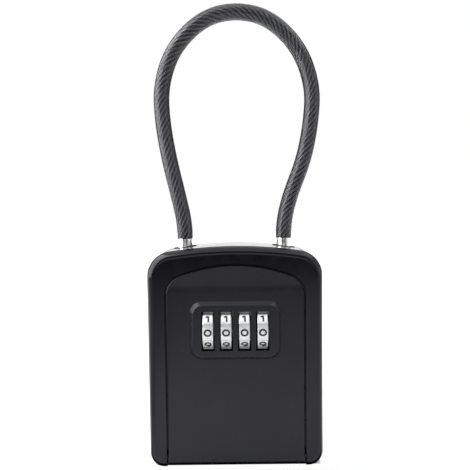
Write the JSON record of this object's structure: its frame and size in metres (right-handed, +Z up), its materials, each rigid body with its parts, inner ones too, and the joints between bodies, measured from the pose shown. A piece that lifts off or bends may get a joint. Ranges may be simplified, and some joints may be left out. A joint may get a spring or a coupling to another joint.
{
  "type": "key lock box",
  "caption": "Key lock box with an arched black body, a bottom-hinged combination door and a tall sheathed steel-cable shackle.",
  "frame": {"origin": "under the middle of the box, on the surface it stands on, without the shackle", "axes": "+Z up towards the shackle, -Y out of the door's face, +X to the right of someone facing the door"},
  "size_m": [0.098, 0.0456, 0.2587],
  "materials": {
    "body_paint": "satin black powder coat on die-cast zinc",
    "door_paint": "satin black powder coat on die-cast zinc",
    "dial_metal": "bright satin plating with black filled digits",
    "cam_steel": "blackened steel",
    "nickel": "bright nickel plate",
    "nickel_bolt": "tumbled zinc casting",
    "clear_sheath": "smoke-tinted clear vinyl, gloss",
    "rope_steel": "twisted steel wire strands",
    "rubber": "matt black rubber",
    "steel": "zinc-plated sheet steel",
    "spring_steel": "drawn spring wire",
    "zinc_screw": "bright zinc plate",
    "case_metal": "bare die casting, grey",
    "inner_plastic": "black moulded plastic",
    "latch_plastic": "dark grey moulded plastic"
  },
  "bodies": {
    "root": {"rear_housing": "body_paint", "front_frame": "body_paint", "hinge_pin": "steel", "frame_screws": "zinc_screw", "leg_grommets": "rubber", "shackle_cover": "inner_plastic", "door_keeper": "steel", "cover_screws": "zinc_screw", "shackle_latch_spring": "spring_steel"},
    "shackle": {"captive_leg": "nickel", "retaining_ring": "steel", "locking_leg": "nickel", "wire_rope": "rope_steel", "cable_sheath": "clear_sheath"},
    "shackle_latch": {"shackle_latch": "latch_plastic"},
    "door": {"door_panel": "door_paint", "lock_case": "case_metal", "lock_case_cover": "steel", "lock_case_screws": "zinc_screw", "case_cover_screws": "zinc_screw", "dial_spindle": "steel", "detent_spring": "spring_steel", "bolt_spring": "spring_steel"},
    "latch_bolt": {"latch_bolt": "nickel_bolt"},
    "reset_lever": {"reset_lever": "latch_plastic"},
    "dial_1": {"dial_1": "dial_metal", "dial_cam_1": "cam_steel"},
    "dial_2": {"dial_2": "dial_metal", "dial_cam_2": "cam_steel"},
    "dial_3": {"dial_3": "dial_metal", "dial_cam_3": "cam_steel"},
    "dial_4": {"dial_4": "dial_metal", "dial_cam_4": "cam_steel"}
  },
  "joints": [
    {"name": "door_hinge", "type": "hinge", "parent": "root", "child": "door", "pos_m": [0, -0.013, 0.0047], "axis": [1, 0, 0], "range_deg": [0, 90]},
    {"name": "dial_1_turn", "type": "hinge", "parent": "door", "child": "dial_1", "pos_m": [-0.01455, -0.0112, 0.0759], "axis": [1, 0, 0], "continuous": true},
    {"name": "dial_2_turn", "type": "hinge", "parent": "door", "child": "dial_2", "pos_m": [-0.00485, -0.0112, 0.0759], "axis": [1, 0, 0], "continuous": true},
    {"name": "dial_3_turn", "type": "hinge", "parent": "door", "child": "dial_3", "pos_m": [0.00485, -0.0112, 0.0759], "axis": [1, 0, 0], "continuous": true},
    {"name": "dial_4_turn", "type": "hinge", "parent": "door", "child": "dial_4", "pos_m": [0.01455, -0.0112, 0.0759], "axis": [1, 0, 0], "continuous": true},
    {"name": "latch_bolt_slide", "type": "slide", "parent": "door", "child": "latch_bolt", "axis": [0, 0, 1], "range_m": [0, 0.0028], "deforming": ["bolt_spring"]},
    {"name": "reset_lever_slide", "type": "slide", "parent": "door", "child": "reset_lever", "axis": [1, 0, 0], "range_m": [0, 0.0025]},
    {"name": "shackle_lift", "type": "slide", "parent": "root", "child": "shackle", "axis": [0, 0, 1], "range_m": [0, 0.012]},
    {"name": "shackle_latch_slide", "type": "slide", "parent": "root", "child": "shackle_latch", "axis": [1, 0, 0], "range_m": [0, 0.005], "deforming": ["shackle_latch_spring"]}
  ]
}
